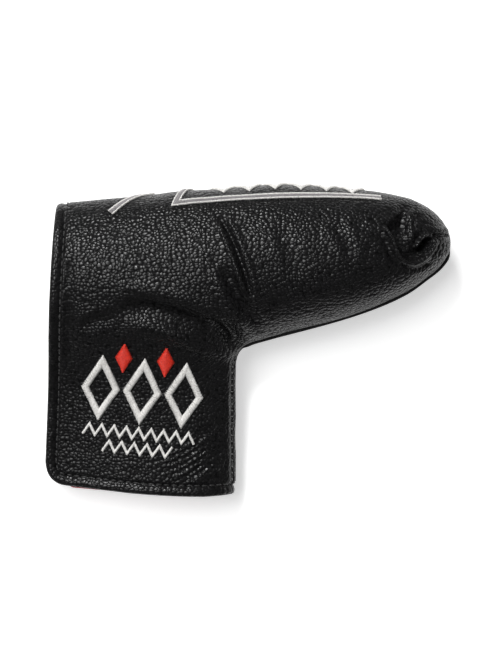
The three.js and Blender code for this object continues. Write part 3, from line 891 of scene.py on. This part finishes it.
def foam_shell(patch):
    """Foam, which follows the leather on its outside and less of it on its inside."""
    height = relief(patch.points, sewn=False)
    return shell(patch, height - FOAM[0], INNER_SHARE * height - FOAM[1])


def lining_shell(patch, centres):
    """Plush, with a soft rise over each magnet."""
    height = INNER_SHARE * relief(patch.points, sewn=False)
    pile = PILE_HEIGHT * noise_at(patch.points / PILE_SIZE)
    for centre in centres:
        away = np.linalg.norm(patch.points[:, :2] - centre, axis=1)
        pile -= MAGNET_RISE * smooth((MAGNET_HOLE + 1 - away) / 2.2)
    return shell(patch, height - LINING[0], height - LINING[1] + pile)


add_piece(
    "front_leather_panel",
    leather_shell(front_leather),
    "leather",
    ["cover_leather", "front_flap_leather"],
    True,
)
add_piece("back_leather_panel", leather_shell(back_leather), "leather", ["cover_leather"])
foam_front = add_piece(
    "front_foam_layer",
    foam_shell(Holed(inner_front, FRONT_MAGNETS, MAGNET_HOLE)),
    "foam",
    ["front_foam_pad", "front_flap_foam_pad"],
    True,
)
foam_back = add_piece(
    "back_foam_layer",
    foam_shell(Holed(inner_back, BACK_MAGNETS, MAGNET_HOLE)),
    "foam",
    ["back_foam_pad"],
)
lining_front = add_piece(
    "front_lining",
    lining_shell(inner_front, FRONT_MAGNETS),
    "plush_lining",
    ["front_plush_lining", "front_flap_plush_lining"],
    True,
)
lining_back = add_piece(
    "back_lining", lining_shell(inner_back, BACK_MAGNETS), "plush_lining", ["back_plush_lining"]
)


# ---- Lines on the surface ----
LINE_ROUNDS = 12


def resampled(points, spacing):
    """Points at an even spacing along a line, with its ends kept."""
    along = distance_along(points)
    at = np.linspace(0, along[-1], max(2, round(along[-1] / spacing) + 1))
    return sample_line(at, along, points)


def border_chain(patch, flag):
    """The patch's border points that have the flag, in order along the border."""
    after = {a: b for a, b in border_loops(patch.faces) if flag[a] and flag[b]}
    starts = set(after) - set(after.values())
    chain = [sorted(starts)[0]]
    while chain[-1] in after:
        chain.append(after[chain[-1]])
    return chain


def settle_line(line, inset):
    """Moves a line onto the bag at this distance from the mouth's edge, with its ends on the seam."""
    every = np.ones(len(line), bool)
    ends = np.zeros(len(line), bool)
    ends[[0, -1]] = True
    return settle(line, every, ends, inset, LINE_ROUNDS)


def mouth_line(patch, spacing=0.9):
    """The mouth's edge along one panel, from its one end on the seam to the other."""
    chain = border_chain(patch, patch.on_mouth)
    every = np.ones(len(chain), bool)
    line = settle(patch.points[chain], every, patch.on_seam[chain], 0.0, LINE_ROUNDS)
    return settle_line(resampled(line, spacing), 0.0)


def inside_line(line, inset):
    """The line moved inwards along the surface to this distance from the mouth's edge."""
    _, inward = mouth_distance(line)
    start = line.copy()
    start[:, :2] += inset * inward
    return settle_line(start, inset)


def on_leather(points, lift=0.0):
    """These points of the plain surface, lifted to the leather's real one, and the way outwards there."""
    normal = unit(gradient(points))
    return points + normal * (relief(points) + lift)[:, None], normal


# ---- Turned edge: a padded strip folded over the edge of the leather, the foam and the lining ----
# Across the strip: distance inside the edge, and height over the plain surface
EDGE_SECTION = [
    (5.0, -1.2),
    (4.4, -0.75),
    (3.7, -0.28),
    (2.9, 0.08),
    (2.1, 0.26),
    (1.3, 0.22),
    (0.55, -0.06),
    (0.14, -0.7),
    (0.0, -1.6),
    (0.0, -2.6),
    (0.1, -3.6),
    (0.5, -4.4),
    (1.2, -4.85),
    (2.2, -4.95),
    (3.2, -4.9),
    (4.3, -4.75),
    (5.0, -4.2),
]
EDGE_LUMP, EDGE_LUMP_SIZE, EDGE_PINCH = 0.16, 3.4, 0.16
END_SINK = 0.55  # how far the strip sinks at its end on the closing seam
STITCH_PITCH, STITCH_LENGTH, STITCH_RADIUS = 3.0, 2.25, 0.25
STITCH_LOW, STITCH_HIGH = -0.35, 0.22  # a stitch's ends and its middle, over the leather


def loft(rings):
    """A closed solid through rings of points, given as an array of ring, place on it and axis."""
    count, sides = rings.shape[:2]
    index = np.arange(count * sides).reshape(count, sides)
    turned = np.roll(index, -1, 1)
    quads = np.stack([index[:-1], turned[:-1], turned[1:], index[1:]], -1).reshape(-1, 4).tolist()
    caps = [index[0][::-1].tolist(), index[-1].tolist()]
    shape = Shape()
    shape.add(rings.reshape(-1, 3), quads + caps)
    return shape


def turned_edge(patch):
    line = mouth_line(patch)
    along = distance_along(line)
    pull = 0.5 - 0.5 * np.cos(2 * math.pi * along / STITCH_PITCH)
    rings = []
    for inset, height in EDGE_SECTION:
        base = inside_line(line, inset)
        normal = unit(gradient(base))
        lumps = noise_at(base / EDGE_LUMP_SIZE)
        outer = height > -2
        pinch = EDGE_PINCH * pull * smooth((inset - 2.4) / 1.4)
        lift = height + 0.5 * swell(base) + (EDGE_LUMP * lumps - pinch) * outer
        lift -= END_SINK * smooth((base[:, 0] - NECK_SIDE_X + 6) / 5)
        ring = base + normal * lift[:, None]
        ring[:, 2] = np.maximum(ring[:, 2], 0.05)
        rings.append(ring)
    return loft(np.stack(rings, 1))


add_piece(
    "front_edge_binding",
    turned_edge(front),
    "binding",
    ["mouth_edge_binding", "front_flap_edge_binding"],
    True,
)
add_piece("back_edge_binding", turned_edge(back), "binding", ["mouth_edge_binding"])


# ---- Threads ----
def add_threads(shape, lines, ups, radius, sides=6, taper=0.4):
    """Round threads along many lines of points, all with the same count, closed at both ends."""
    count, rings, _ = lines.shape
    along = unit(np.gradient(lines, axis=1))
    across = unit(np.cross(along, ups))
    ups = np.cross(across, along)
    ends = np.ones(rings)
    ends[[0, -1]] = taper
    size = np.broadcast_to(radius, (count,))[:, None] * ends
    turn = 2 * math.pi * np.arange(sides) / sides
    ring = across[:, :, None] * np.cos(turn)[:, None] + ups[:, :, None] * np.sin(turn)[:, None]
    points = lines[:, :, None] + ring * size[:, :, None, None]
    index = np.arange(count * rings * sides).reshape(count, rings, sides)
    turned = np.roll(index, -1, 2)
    quads = np.stack([index[:, :-1], index[:, 1:], turned[:, 1:], turned[:, :-1]], -1).reshape(-1, 4)
    caps = np.concatenate([index[:, 0], index[:, -1, ::-1]])
    shape.add(points.reshape(-1, 3), quads.tolist() + caps.tolist())


def stitch_row(shape, line, normal):
    """Stitches along a line: each one an arched thread that dives into the leather at both ends."""
    along = distance_along(line)
    starts = np.arange(STITCH_PITCH * 0.4, along[-1] - STITCH_LENGTH, STITCH_PITCH)
    t = np.linspace(0, 1, 9)
    at = starts[:, None] + STITCH_LENGTH * t
    spots = sample_line(at, along, line)
    ups = unit(sample_line(at, along, normal))
    lift = STITCH_LOW + (STITCH_HIGH - STITCH_LOW) * np.sin(math.pi * t) ** 0.6
    add_threads(shape, spots + ups * lift[None, :, None], ups, STITCH_RADIUS, 8)


def topstitching(patch):
    inner = resampled(inside_line(mouth_line(patch), STITCH_INSET), 0.5)
    line, normal = on_leather(inner)
    line[:, 2] = np.maximum(line[:, 2], lowest(line))
    shape = Shape()
    stitch_row(shape, line, normal)
    return shape


add_piece(
    "front_topstitching",
    topstitching(front),
    "black_thread",
    ["front_flap_topstitch", "hem_corner_topstitch", "mouth_spine_topstitch"],
    True,
)
add_piece("back_topstitching", topstitching(back), "black_thread", ["back_flap_topstitch"])

SEAM_END_Y = 39.0
SEAM_PITCH, SEAM_REACH, SEAM_SLANT, SEAM_THREAD = 2.5, 0.95, 0.35, 0.2


def seam_line():
    """The closing seam, from the hem's inner corner under the pocket to the toe's tip."""
    chain = border_chain(front, front.on_seam)
    line = front.points[chain]
    keep = (line[:, 1] < SEAM_END_Y) & (line[:, 0] > NECK_SIDE_X - 12)
    return resampled(line[keep], 0.6)


def seam_stitches():
    line = settle(seam_line(), on_seam=None, rounds=3)
    normal = unit(gradient(line))
    along = unit(np.gradient(line, axis=0))
    across = np.cross(normal, along)
    distance = distance_along(line)
    at = np.arange(3, distance[-1] - 2, SEAM_PITCH)
    t = np.linspace(-1, 1, 7)
    middle = sample_line(at, distance, line)
    across = unit(sample_line(at, distance, across))
    slant = SEAM_SLANT * unit(sample_line(at, distance, along))
    spots = middle[:, None] + SEAM_REACH * t[:, None] * (across + slant)[:, None]
    spots = settle(spots.reshape(-1, 3), rounds=3)
    lifted, up = on_leather(spots, 0.0)
    lifted += up * np.tile(-0.2 + 0.32 * (1 - np.abs(t) ** 3), len(middle))[:, None]
    shape = Shape()
    size = (len(middle), len(t), 3)
    add_threads(shape, lifted.reshape(size), up.reshape(size), SEAM_THREAD)
    return shape


# Across the seam's welt under the pocket: distance along the surface, and height over the plain surface
WELT_SECTION = [(0.5, -1.2), (0.46, 0.6), (0.3, 1.3), (0.0, 1.5), (-0.3, 1.3), (-0.46, 0.6), (-0.5, -1.2)]
WELT_END = 6.0  # how long it takes to rise at each end


def seam_welt():
    """The narrow edge of the two layers where the seam closes them, standing out under the pocket."""
    line = seam_line()
    line = resampled(line[line[:, 1] > -5], 0.6)
    line = settle(line, rounds=3)
    distance = distance_along(line)
    normal = unit(gradient(line))
    across = np.cross(normal, unit(np.gradient(line, axis=0)))
    rise = smooth(distance / WELT_END) * smooth((distance[-1] - distance) / WELT_END)
    rings = []
    for aside, height in WELT_SECTION:
        lift = height - 1.5 * (1 - rise)
        rings.append(line + aside * across + lift[:, None] * normal)
    return loft(np.stack(rings, 1))


add_piece("closing_seam_stitches", seam_stitches(), "black_thread", ["closing_seam_thread"])
# The welt's near-black colour paints the shade under the seam, as well as the edge's own black.
add_piece("closing_seam_welt", seam_welt(), "binding", ["closing_seam_thread"], look=WELT_EDGE_AND_SHADE)


# ---- The lining's edge, pulled out over the turned edge at the back, where it shows below the hem ----
PEEK_FROM, PEEK_TO = -74.5, -55.5
PEEK_PILE, PEEK_PILE_SIZE = 0.1, 0.8
# Across it: distance inside the edge, and height over the plain surface
PEEK_SECTION = [
    (4.6, -5.0),
    (2.4, -5.1),
    (0.9, -4.9),
    (-0.1, -4.2),
    (-0.3, -3.3),
    (-0.6, -2.8),
    (-1.0, -3.2),
    (-0.95, -4.2),
    (-0.3, -5.1),
    (0.8, -5.6),
    (2.4, -5.8),
    (4.6, -5.5),
]


def lining_peek():
    line = mouth_line(back, 0.5)
    keep = (line[:, 0] > PEEK_FROM) & (line[:, 0] < PEEK_TO) & (line[:, 1] < HEM_Y + 12)
    line = line[keep]
    _, inward = mouth_distance(line)
    t = np.linspace(0, 1, len(line))
    tucked = 1.9 * (1 - smooth(t / 0.22) * smooth((1 - t) / 0.22))
    rings = []
    for inset, height in PEEK_SECTION:
        shift = inset + tucked * (4.6 - inset) / 4.6
        base = line.copy()
        base[:, :2] += inward * shift[:, None]
        base = settle(base, rounds=4)
        normal = unit(gradient(base))
        pile = PEEK_PILE * noise_at(base / PEEK_PILE_SIZE + height)
        rings.append(base + normal * (height + pile)[:, None])
    return loft(np.stack(rings, 1))


# ---- Embroidery: satin stitches, thread by thread, on charts of the leather's surface ----
class Chart:
    """The leather's surface over two coordinates: where it is and which way it faces."""

    def __init__(self, low, high, step, locate):
        self.low, self.step = np.array(low, float), step
        self.count = np.ceil((np.array(high) - self.low) / step).astype(int) + 1
        u, v = (self.low[k] + step * np.arange(self.count[k]) for k in (0, 1))
        plain = locate(u, v)
        surface, normal = on_leather(plain.reshape(-1, 3))
        self.table = np.concatenate([surface, normal], 1).reshape(*self.count, 6)

    def at(self, places, lift):
        spot = (places - self.low) / self.step
        cell = np.clip(spot.astype(int), 0, self.count - 2)
        s, t = np.moveaxis(np.clip(spot - cell, 0, 1)[..., None], -2, 0)
        i, j = cell[..., 0], cell[..., 1]
        table = self.table
        low = table[i, j] * (1 - s) + table[i + 1, j] * s
        high = table[i, j + 1] * (1 - s) + table[i + 1, j + 1] * s
        both = low * (1 - t) + high * t
        normal = unit(both[..., 3:])
        return both[..., :3] + normal * lift[..., None], normal


START_Z, START_Y = 34.0, 64.0  # near the front's surface and near the spine, to start a search from


def from_above(u, v):
    """The plain front surface under each pair of x and y."""
    x, y = np.meshgrid(u, v, indexing="ij")
    p = np.stack([x.ravel(), y.ravel(), np.full(x.size, START_Z)], 1)
    for _ in range(12):
        slope = gradient(p)[:, 2]
        p[:, 2] -= np.clip(bag_field(p) / np.maximum(slope, 0.3), -6, 6)
    return p.reshape(*x.shape, 3)


def from_spine(u, v):
    """The plain surface at each x and at each distance round from the spine, positive to the front."""
    start = np.stack([u, np.full(len(u), START_Y), np.full(len(u), MID_Z)], 1)
    for _ in range(12):
        start[:, 1] -= bag_field(start) / np.maximum(gradient(start)[:, 1], 0.3)
    out = np.zeros((len(u), len(v), 3))
    middle = int(np.abs(v).argmin())
    out[:, middle] = start
    step = v[1] - v[0]
    for way in (1, -1):
        p = start
        stop = len(v) if way > 0 else -1
        for j in range(middle + way, stop, way):
            for _ in range(2):
                slope = gradient(p)
                along = unit(np.stack([np.zeros(len(u)), -slope[:, 2], slope[:, 1]], 1))
                p = p + along * way * step / 2
                slope = gradient(p)
                fix = bag_field(p) / np.maximum(slope[:, 1] ** 2 + slope[:, 2] ** 2, 1e-6)
                p = p - fix[:, None] * slope * [0, 1, 1]
            out[:, j] = p
    return out


rng = np.random.default_rng(7)
EMBLEM = Chart((-66, -54), (-14, 4), 0.8, from_above)
SPINE = Chart((-60, -18), (64, 18), 0.8, from_spine)


def rails(line, width, closed):
    """The two sides of a stroke along a line, with mitred corners."""
    line = np.asarray(line, float)
    count = len(line)
    along = unit(np.roll(line, -1, 0) - line)
    before = np.roll(along, 1, 0)
    if not closed:
        before[0], along[-1] = along[0], before[-1]
    side = unit(before + along)
    side = np.stack([-side[:, 1], side[:, 0]], 1)
    square = np.stack([-along[:, 1], along[:, 0]], 1)
    reach = width / 2 / np.maximum((side * square).sum(1), 0.35)
    left, right = line + side * reach[:, None], line - side * reach[:, None]
    if closed:
        left, right = np.vstack([left, left[:1]]), np.vstack([right, right[:1]])
    return left, right


CORD_WIDTH, CORD_HEIGHT = 0.5, 0.6
# How deep a thread's ends are sunk, and how far threads stray sideways and in height
SATIN_ROOT, SATIN_DRIFT, SATIN_UNEVENNESS = 0.12, 0.035, 0.02


def satin(shape, chart, left, right, height, pitch=0.37, radius=0.19):
    """Threads side by side from one rail to the other, arched over the stroke."""
    t = np.linspace(0, 1, 7)
    spots = []
    for k in range(len(left) - 1):
        a = (left[k] + right[k]) / 2
        b = (left[k + 1] + right[k + 1]) / 2
        steps = max(1, round(float(np.linalg.norm(b - a)) / pitch))
        share = ((np.arange(steps) + 0.5) / steps)[:, None]
        from_side = left[k] * (1 - share) + left[k + 1] * share
        to_side = right[k] * (1 - share) + right[k + 1] * share
        spots.append(from_side[:, None] * (1 - t[:, None]) + to_side[:, None] * t[:, None])
    spots = np.concatenate(spots)
    spots += rng.normal(0, SATIN_DRIFT, (len(spots), 1, 2))
    lift = -SATIN_ROOT + (height + SATIN_ROOT) * np.sin(math.pi * t) ** 0.55
    lift = lift + rng.normal(0, SATIN_UNEVENNESS, (len(spots), 1))
    lines, ups = chart.at(spots, lift)
    add_threads(shape, lines, ups, radius * rng.uniform(0.94, 1.06, len(spots)))


def stroke(shape, chart, line, width, height, closed=False, **thread):
    left, right = rails(line, width, closed)
    satin(shape, chart, left, right, height, **thread)


def edged(shape, chart, line, width):
    """Narrow satin cords along both sides of an open stroke."""
    for side in rails(line, width, False):
        stroke(shape, chart, side, CORD_WIDTH, CORD_HEIGHT, pitch=0.34)


EMBLEM_CENTRE = np.array([-41.0, -20.0])
EMBLEM_TILT = math.radians(-5.5)
DIAMOND_HALF, DIAMOND_STROKE, DIAMOND_PITCH = (6.2, 10.6), 2.8, 16.4
RED_HALF, RED_RISE = (3.6, 5.6), 12.6
ZIGZAG_STEP, ZIGZAG_SWING, ZIGZAG_STROKE = 2.5, 2.1, 1.0
WHITE_HEIGHT, RED_HEIGHT, ZIGZAG_HEIGHT = 0.85, 0.75, 0.55


def emblem_place(points):
    cos, sin = math.cos(EMBLEM_TILT), math.sin(EMBLEM_TILT)
    turn = np.array([[cos, sin], [-sin, cos]])
    return np.array(points, float) @ turn + EMBLEM_CENTRE


def diamond(middle):
    wide, tall = DIAMOND_HALF
    corners = [(middle - wide, 0), (middle, tall), (middle + wide, 0), (middle, -tall)]
    shape = Shape()
    stroke(shape, EMBLEM, emblem_place(corners), DIAMOND_STROKE, WHITE_HEIGHT, True)
    return shape


def red_diamond(middle):
    wide, tall = RED_HALF
    at = np.linspace(-1, 1, 41)
    half = 0.25 + (wide - 0.25) * (1 - np.abs(at))
    rise = RED_RISE + tall * at
    left = emblem_place(np.stack([middle - half, rise], 1))
    right = emblem_place(np.stack([middle + half, rise], 1))
    shape = Shape()
    satin(shape, EMBLEM, left, right, RED_HEIGHT, pitch=0.3)
    return shape


def zigzag(end, height):
    count = round(2 * end / ZIGZAG_STEP)
    swings = [ZIGZAG_SWING if i % 2 else -ZIGZAG_SWING for i in range(count + 1)]
    points = [(-end + 2 * end * i / count, height + swing) for i, swing in enumerate(swings)]
    shape = Shape()
    stroke(shape, EMBLEM, emblem_place(points), ZIGZAG_STROKE, ZIGZAG_HEIGHT, pitch=0.3, radius=0.18)
    return shape


add_piece("emblem_left", diamond(-DIAMOND_PITCH), "white_thread", ["emblem_diamond_left"], True)
add_piece(
    "emblem_centre",
    diamond(0),
    "white_thread",
    ["emblem_diamond_centre_body_side", "emblem_diamond_centre_flap_side"],
    True,
)
add_piece("emblem_right", diamond(DIAMOND_PITCH), "white_thread", ["emblem_diamond_right"], True)
for side, place in (("left", -DIAMOND_PITCH / 2), ("right", DIAMOND_PITCH / 2)):
    add_piece(f"emblem_red_{side}", red_diamond(place), "red_thread", [f"emblem_red_diamond_{side}"], True)
add_piece(
    "emblem_long_zigzag",
    zigzag(22, -16.5),
    "white_thread",
    ["emblem_zigzag_long_body_side", "emblem_zigzag_long_flap_side"],
    True,
)
add_piece("emblem_short_zigzag", zigzag(13.75, -22.6), "white_thread", ["emblem_zigzag_short"], True)

# Round the spine: places are x and the distance round from the spine, positive to the front
FRAME_FRONT = [(-27.5, 14), (-16, 14.1), (-4, 14.4), (10, 14.6), (24, 13.9), (38, 12.5), (52, 11)]
FRAME_SLANT = (-19.5, -12)
CHEVRON = [(-53, 14), (-38, 0), (-53, -14)]
ROW_FROM, ROW_PITCH, ROW_COUNT, ROW_HALF = -14, 10, 6, 8.3
ROW_STROKE, ROW_HEIGHT, ROW_GAP = 1.7, 0.6, 1.2
SPINE_STROKE, SPINE_HEIGHT = 1.9, 0.5


def frame_line():
    front_side = np.array(FRAME_FRONT, float)
    xs = np.linspace(front_side[0, 0], front_side[-1, 0], 25)
    top = np.stack([xs, through(front_side[:, 0], front_side[:, 1], xs)], 1)
    low = np.stack([xs + FRAME_SLANT[0] - FRAME_FRONT[0][0], -0.92 * top[:, 1]], 1)
    return np.concatenate([top[::-1], low])


def silver_stroke(line):
    silver, white = Shape(), Shape()
    stroke(silver, SPINE, line, SPINE_STROKE, SPINE_HEIGHT)
    edged(white, SPINE, line, SPINE_STROKE + 0.3)
    return silver, white


def diamond_row():
    shape = Shape()
    for n in range(ROW_COUNT):
        middle = ROW_FROM + ROW_PITCH * (n + 0.5)
        half = (ROW_PITCH - ROW_GAP) / 2
        corners = [(middle - half, 0), (middle, ROW_HALF), (middle + half, 0), (middle, -ROW_HALF)]
        stroke(shape, SPINE, corners, ROW_STROKE, ROW_HEIGHT, True)
    return shape


for name, line in (("spine_frame", frame_line()), ("spine_chevron", CHEVRON)):
    silver, white = silver_stroke(line)
    add_piece(name, silver, "silver_thread", [f"{name}_embroidery"])
    add_piece(f"{name}_edges", white, "white_thread", [f"{name}_embroidery"])
add_piece("spine_diamond_row", diamond_row(), "white_thread", ["spine_diamond_row_embroidery"])
add_piece("lining_edge_at_hem", lining_peek(), "plush_lining", ["back_plush_lining"])

for name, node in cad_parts.items():
    if "magnet" in name:
        node.data.materials.clear()
        node.data.materials.append(LOOKS["magnet"])

# ---- Camera, floor and light ----
FRAME_HEIGHT = 0.000394 * 659  # metres across the picture at the cover's middle, from top to bottom
CAMERA_Y = 0.0045
cam_data = bpy.data.cameras.new("camera")
cam_data.lens = 120
cam_data.clip_start = 0.01
camera = bpy.data.objects.new("camera", cam_data)
bpy.context.scene.collection.objects.link(camera)
camera.location = (0, CAMERA_Y, MID_Z * MM + FRAME_HEIGHT * cam_data.lens / cam_data.sensor_width)
bpy.context.scene.camera = camera

bpy.ops.mesh.primitive_plane_add(size=6)
floor = bpy.context.object
floor.name = "floor"
floor_look, tree, shader = new_material("floor")
place = tree.nodes.new("ShaderNodeTexCoord").outputs["Object"]
away = tree.nodes.new("ShaderNodeVectorMath")
away.operation = "LENGTH"
tree.links.new(place, away.inputs[0])
# Metres from the middle: up to the first the floor is white and glows, painted light that also falls on the
# cover; towards the second its colour darkens and its glow fades, a painted falloff of the light round the
# cover
FLOOR_NEAR, FLOOR_FAR = 0.168, 0.34
painted_light_falloff = remap(tree, away.outputs["Value"], FLOOR_NEAR, FLOOR_FAR)
colour_between(tree, shader, painted_light_falloff, (0.9, 0.9, 0.9), (0.45, 0.45, 0.45))
set_inputs(shader, Roughness=0.8, Emission_Color=(1, 1, 1, 1))
glow = remap(tree, away.outputs["Value"], FLOOR_NEAR, FLOOR_FAR, 0.55, 0.04)
tree.links.new(glow, shader.inputs["Emission Strength"])
floor.data.materials.append(floor_look)


def studio_world(zenith, horizon):
    """Light all round that is brighter towards the horizon than overhead."""
    world = bpy.data.worlds.new("world")
    world.use_nodes = True
    tree = world.node_tree
    place = tree.nodes.new("ShaderNodeTexCoord").outputs["Generated"]
    split = tree.nodes.new("ShaderNodeSeparateXYZ")
    tree.links.new(place, split.inputs[0])
    level = remap(tree, split.outputs["Z"], 0.2, 0.85, horizon, zenith)
    tree.links.new(level, tree.nodes["Background"].inputs["Strength"])
    tree.nodes["Background"].inputs["Color"].default_value = (1, 1, 1, 1)
    bpy.context.scene.world = world


studio_world(0.08, 0.12)


def softbox(name, place, size, energy):
    data = bpy.data.lights.new(name, "AREA")
    data.shape = "RECTANGLE"
    data.size, data.size_y = size
    data.energy = energy
    light = bpy.data.objects.new(name, data)
    light.location = place
    light.rotation_euler = (-Vector(place)).to_track_quat("-Z", "Y").to_euler()
    bpy.context.scene.collection.objects.link(light)


softbox("key", (-0.5, 1.1, 1.5), (0.46, 0.3), 21)
softbox("fill", (-0.9, 0.6, 2.2), (1.5, 1.5), 40)
bpy.context.scene.view_settings.view_transform = "Standard"
